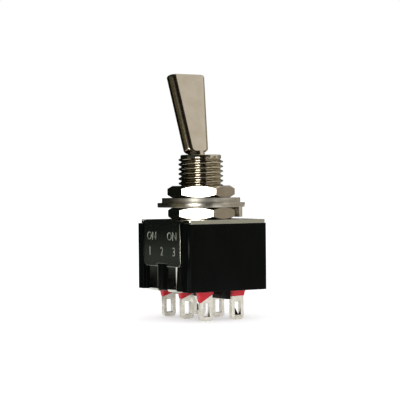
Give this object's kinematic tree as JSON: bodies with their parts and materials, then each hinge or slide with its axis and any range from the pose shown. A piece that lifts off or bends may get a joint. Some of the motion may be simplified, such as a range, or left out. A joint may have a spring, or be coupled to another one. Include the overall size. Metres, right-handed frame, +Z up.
{
  "type": "panel toggle switch",
  "caption": "Miniature panel toggle switch with a flat lever, threaded bushing, folded steel frame and solder lugs; the lever throws both rocking contacts.",
  "frame": {"origin": "on the bushing's axis, at the top face of the frame", "axes": "+Z up the bushing, +Y the way the lever leans at rest, X across the two poles"},
  "size_m": [0.0122, 0.0132, 0.0328],
  "materials": {
    "black_moulding": "smooth glossy phenolic moulding",
    "frame_steel": "bright rolled and plated steel sheet",
    "bushing_nickel": "nickel plate on turned brass",
    "lever_nickel": "satin nickel plate on brass",
    "nut_nickel": "nickel plate on brass",
    "washer_steel": "plated steel, sheared edges",
    "lug_plate": "bright tin and silver plate on copper alloy",
    "seal_epoxy": "cast red epoxy",
    "pin_steel": "ground steel",
    "holder_nylon": "natural nylon",
    "plunger_brass": "turned brass",
    "spring_steel": "drawn spring wire",
    "contact_silver": "silver plated copper strip"
  },
  "bodies": {
    "body": {"case": "black_moulding", "frame": "frame_steel", "bushing": "bushing_nickel", "common_a": "lug_plate", "common_b": "lug_plate", "lug_a1": "lug_plate", "lug_a3": "lug_plate", "lug_b1": "lug_plate", "lug_b3": "lug_plate", "seal_a1": "seal_epoxy", "seal_a2": "seal_epoxy", "seal_a3": "seal_epoxy", "seal_b1": "seal_epoxy", "seal_b2": "seal_epoxy", "seal_b3": "seal_epoxy", "nut_lower": "nut_nickel", "key_washer": "washer_steel", "lock_washer": "washer_steel", "nut_upper": "nut_nickel"},
    "lever": {"lever": "lever_nickel", "pivot_pin": "pin_steel", "holder": "holder_nylon", "spring_a": "spring_steel", "spring_b": "spring_steel"},
    "plunger_a": {"plunger_a": "plunger_brass"},
    "plunger_b": {"plunger_b": "plunger_brass"},
    "rocker_a": {"rocker_a": "contact_silver"},
    "rocker_b": {"rocker_b": "contact_silver"}
  },
  "joints": [
    {"name": "lever", "type": "hinge", "parent": "body", "child": "lever", "pos_m": [0, 0, 0.0043], "axis": [1, 0, 0], "range_deg": [0, 28]},
    {"name": "rocker_a", "type": "hinge", "parent": "body", "child": "rocker_a", "pos_m": [-0.0024, 0, -0.0069], "axis": [1, 0, 0], "range_deg": [-8, 0]},
    {"name": "rocker_b", "type": "hinge", "parent": "body", "child": "rocker_b", "pos_m": [0.0024, 0, -0.0069], "axis": [1, 0, 0], "range_deg": [-8, 0]},
    {"name": "plunger_a", "type": "slide", "parent": "lever", "child": "plunger_a", "axis": [0, 0.2419, 0.9703], "range_m": [0, 0.0004], "stiffness_N_per_m": 400, "springref_m": -0.0008, "deforming": ["spring_a"]},
    {"name": "plunger_b", "type": "slide", "parent": "lever", "child": "plunger_b", "axis": [0, 0.2419, 0.9703], "range_m": [0, 0.0004], "stiffness_N_per_m": 400, "springref_m": -0.0008, "deforming": ["spring_b"]}
  ],
  "couplings": [
    {"joint": "rocker_a", "follows": "lever", "ratio": -0.28571},
    {"joint": "rocker_b", "follows": "lever", "ratio": -0.28571}
  ]
}
